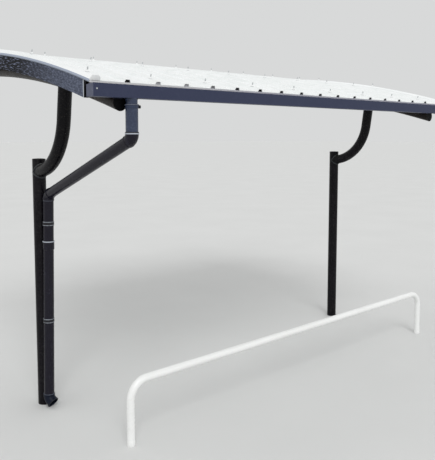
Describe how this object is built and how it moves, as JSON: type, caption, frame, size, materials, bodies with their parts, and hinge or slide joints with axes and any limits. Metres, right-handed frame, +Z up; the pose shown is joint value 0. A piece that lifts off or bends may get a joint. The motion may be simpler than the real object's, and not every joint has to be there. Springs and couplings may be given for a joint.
{
  "type": "bike shelter",
  "caption": "Cantilever bike shelter: arched ribbed sheet roof on bent tube arms and round posts, with a box gutter, rainwater pipe and low guard rail.",
  "frame": {"origin": "on the ground, at the middle of the near post's foot", "axes": "+X along the shelter to the far post, +Y to its back, +Z up"},
  "size_m": [3.0982, 1.9406, 2.1775],
  "materials": {
    "steel_black": "semi-gloss black paint on steel tube",
    "plug_black": "matt black moulded plastic",
    "roof_white": "satin white coated steel sheet",
    "slate_steel": "fine textured dark slate coating",
    "flashing_grey": "satin light grey coated steel",
    "gutter_slate": "satin dark slate plastic",
    "gutter_cap_grey": "satin grey plastic",
    "pipe_slate": "satin slate blue plastic",
    "pipe_black": "satin black plastic",
    "clamp_steel": "dull galvanised steel",
    "rail_white": "gloss white paint on steel tube"
  },
  "bodies": {
    "root": {"post_near": "steel_black", "post_far": "steel_black", "post_cap_near": "steel_black", "post_cap_far": "steel_black", "arm_near": "steel_black", "arm_far": "steel_black", "rafter_near": "steel_black", "rafter_far": "steel_black", "cleats_near": "steel_black", "cleats_far": "steel_black", "purlin_front": "steel_black", "purlin_mid_front": "steel_black", "purlin_mid_back": "steel_black", "purlin_back": "steel_black", "gutter_hangers": "steel_black", "rafter_plugs_near": "plug_black", "rafter_plugs_far": "plug_black", "roof_sheet_near": "roof_white", "roof_sheet_middle": "roof_white", "roof_sheet_far": "roof_white", "gable_fascia_near": "slate_steel", "gable_fascia_far": "slate_steel", "back_fascia": "slate_steel", "gable_flashing_near": "flashing_grey", "gable_flashing_far": "flashing_grey", "back_flashing": "flashing_grey", "eave_trim": "flashing_grey", "gutter": "gutter_slate", "gutter_cap_near": "gutter_cap_grey", "gutter_cap_far": "gutter_cap_grey", "outlet": "pipe_slate", "outlet_band": "steel_black", "pipe_drop": "pipe_slate", "elbow_upper": "pipe_black", "pipe_run": "pipe_black", "elbow_lower": "pipe_black", "pipe_stack_upper": "pipe_black", "pipe_stack_lower": "pipe_black", "pipe_shoe": "pipe_black", "pipe_clamps": "clamp_steel", "guard_rail": "rail_white"}
  },
  "joints": []
}
